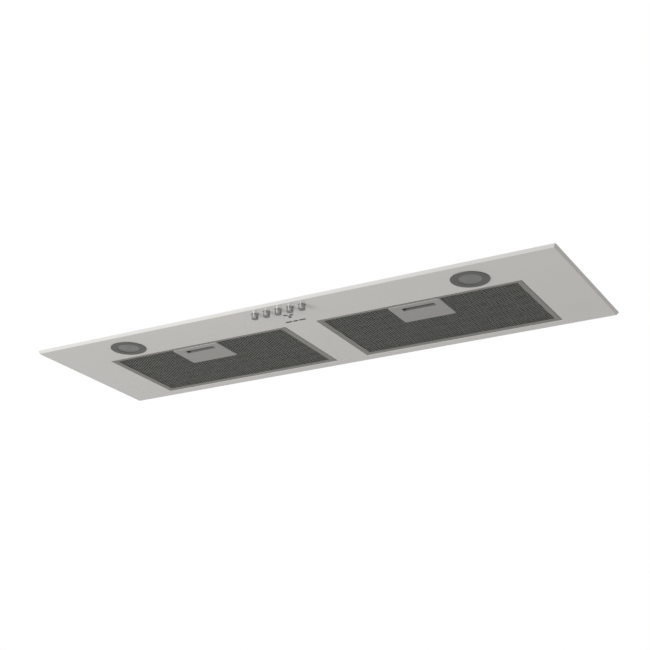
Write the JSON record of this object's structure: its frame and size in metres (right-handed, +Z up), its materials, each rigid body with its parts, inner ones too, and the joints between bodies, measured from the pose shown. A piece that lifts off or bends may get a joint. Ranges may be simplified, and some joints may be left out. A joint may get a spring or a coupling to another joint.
{
  "type": "built-in range hood",
  "caption": "Built-in range hood: bevelled face panel, hinged grease filters with latches, round lamps, push buttons, twin-wheel fan and rear duct collar with damper.",
  "frame": {"origin": "centre of the rectangle of the four cabinet screw holes, on the bearing plane of the chassis flange, which meets the underside of the cabinet or canopy", "axes": "+X to the right along the width as seen from the front, +Y to the rear wall, +Z up into the cabinet"},
  "size_m": [0.86, 0.3058, 0.1304],
  "materials": {
    "panel_steel": "satin",
    "zinc_sheet": "galvanised",
    "motor_steel": "satin",
    "black_plastic": "matte",
    "rubber_part": "matte",
    "damper_metal": "satin",
    "white_plastic": "semi gloss",
    "button_chrome": "polished",
    "spring_steel": "satin",
    "lamp_metal": "satin",
    "lamp_glass": "frosted",
    "filter_frame_metal": "satin",
    "filter_mesh_metal": "woven",
    "latch_metal": "satin"
  },
  "bodies": {
    "hood": {"face_panel": "panel_steel", "chassis": "zinc_sheet", "top_cover": "zinc_sheet", "front_partition": "zinc_sheet", "scroll_left": "zinc_sheet", "scroll_right": "zinc_sheet", "motor_can": "motor_steel", "motor_end_left": "zinc_sheet", "motor_end_right": "zinc_sheet", "stator": "motor_steel", "bearings": "motor_steel", "motor_bracket": "zinc_sheet", "rubber_mounts": "rubber_part", "duct_collar": "black_plastic", "capacitor": "white_plastic", "capacitor_clip": "zinc_sheet", "terminal_box": "zinc_sheet", "terminal_cover": "zinc_sheet", "cable_gland": "black_plastic", "button_guide": "black_plastic", "switch_housing": "white_plastic", "button_spring_1": "spring_steel", "button_spring_2": "spring_steel", "button_spring_3": "spring_steel", "button_spring_4": "spring_steel", "button_spring_5": "spring_steel", "lamp_bezel_left": "lamp_metal", "lamp_bezel_right": "lamp_metal", "lamp_lens_left": "lamp_glass", "lamp_lens_right": "lamp_glass", "lamp_can_left": "lamp_metal", "lamp_can_right": "lamp_metal", "lamp_bulb_left": "white_plastic", "lamp_bulb_right": "white_plastic", "filter_sockets": "black_plastic", "body_screws": "motor_steel", "wiring_harness": "rubber_part"},
    "filter_left": {"filter_frame_left": "filter_frame_metal", "filter_mesh_left": "filter_mesh_metal", "filter_layers_left": "filter_mesh_metal", "latch_plate_left": "latch_metal", "latch_spring_left": "spring_steel"},
    "latch_left": {"latch_slider_left": "latch_metal"},
    "filter_right": {"filter_frame_right": "filter_frame_metal", "filter_mesh_right": "filter_mesh_metal", "filter_layers_right": "filter_mesh_metal", "latch_plate_right": "latch_metal", "latch_spring_right": "spring_steel"},
    "latch_right": {"latch_slider_right": "latch_metal"},
    "damper": {"damper_flap": "damper_metal", "damper_pin": "motor_steel"},
    "rotor": {"motor_shaft": "motor_steel", "rotor_core": "motor_steel", "impeller_left": "black_plastic", "impeller_right": "black_plastic"},
    "button_1": {"button_1": "button_chrome"},
    "button_2": {"button_2": "button_chrome"},
    "button_3": {"button_3": "button_chrome"},
    "button_4": {"button_4": "button_chrome"},
    "button_5": {"button_5": "button_chrome"}
  },
  "joints": [
    {"name": "filter_left_swing", "type": "hinge", "parent": "hood", "child": "filter_left", "pos_m": [-0.18845, 0.1096, 0.0001], "axis": [1, 0, 0], "range_deg": [0, 80]},
    {"name": "latch_left_slide", "type": "slide", "parent": "filter_left", "child": "latch_left", "axis": [0, 1, 0], "range_m": [0, 0.006], "stiffness_N_per_m": 400, "springref_m": -0.002, "deforming": ["latch_spring_left"]},
    {"name": "filter_right_swing", "type": "hinge", "parent": "hood", "child": "filter_right", "pos_m": [0.18845, 0.1096, 0.0001], "axis": [1, 0, 0], "range_deg": [0, 80]},
    {"name": "latch_right_slide", "type": "slide", "parent": "filter_right", "child": "latch_right", "axis": [0, 1, 0], "range_m": [0, 0.006], "stiffness_N_per_m": 400, "springref_m": -0.002, "deforming": ["latch_spring_right"]},
    {"name": "damper_swing", "type": "hinge", "parent": "hood", "child": "damper", "pos_m": [0, 0.139, 0.104], "axis": [1, 0, 0], "range_deg": [0, 75]},
    {"name": "fan_spin", "type": "hinge", "parent": "hood", "child": "rotor", "pos_m": [0, 0.085, 0.054], "axis": [1, 0, 0], "continuous": true},
    {"name": "button_1_press", "type": "slide", "parent": "hood", "child": "button_1", "axis": [0, 0, 1], "range_m": [0, 0.0024], "stiffness_N_per_m": 300, "springref_m": -0.002, "deforming": ["button_spring_1"]},
    {"name": "button_2_press", "type": "slide", "parent": "hood", "child": "button_2", "axis": [0, 0, 1], "range_m": [0, 0.0024], "stiffness_N_per_m": 300, "springref_m": -0.002, "deforming": ["button_spring_2"]},
    {"name": "button_3_press", "type": "slide", "parent": "hood", "child": "button_3", "axis": [0, 0, 1], "range_m": [0, 0.0024], "stiffness_N_per_m": 300, "springref_m": -0.002, "deforming": ["button_spring_3"]},
    {"name": "button_4_press", "type": "slide", "parent": "hood", "child": "button_4", "axis": [0, 0, 1], "range_m": [0, 0.0024], "stiffness_N_per_m": 300, "springref_m": -0.002, "deforming": ["button_spring_4"]},
    {"name": "button_5_press", "type": "slide", "parent": "hood", "child": "button_5", "axis": [0, 0, 1], "range_m": [0, 0.0024], "stiffness_N_per_m": 300, "springref_m": -0.002, "deforming": ["button_spring_5"]}
  ]
}
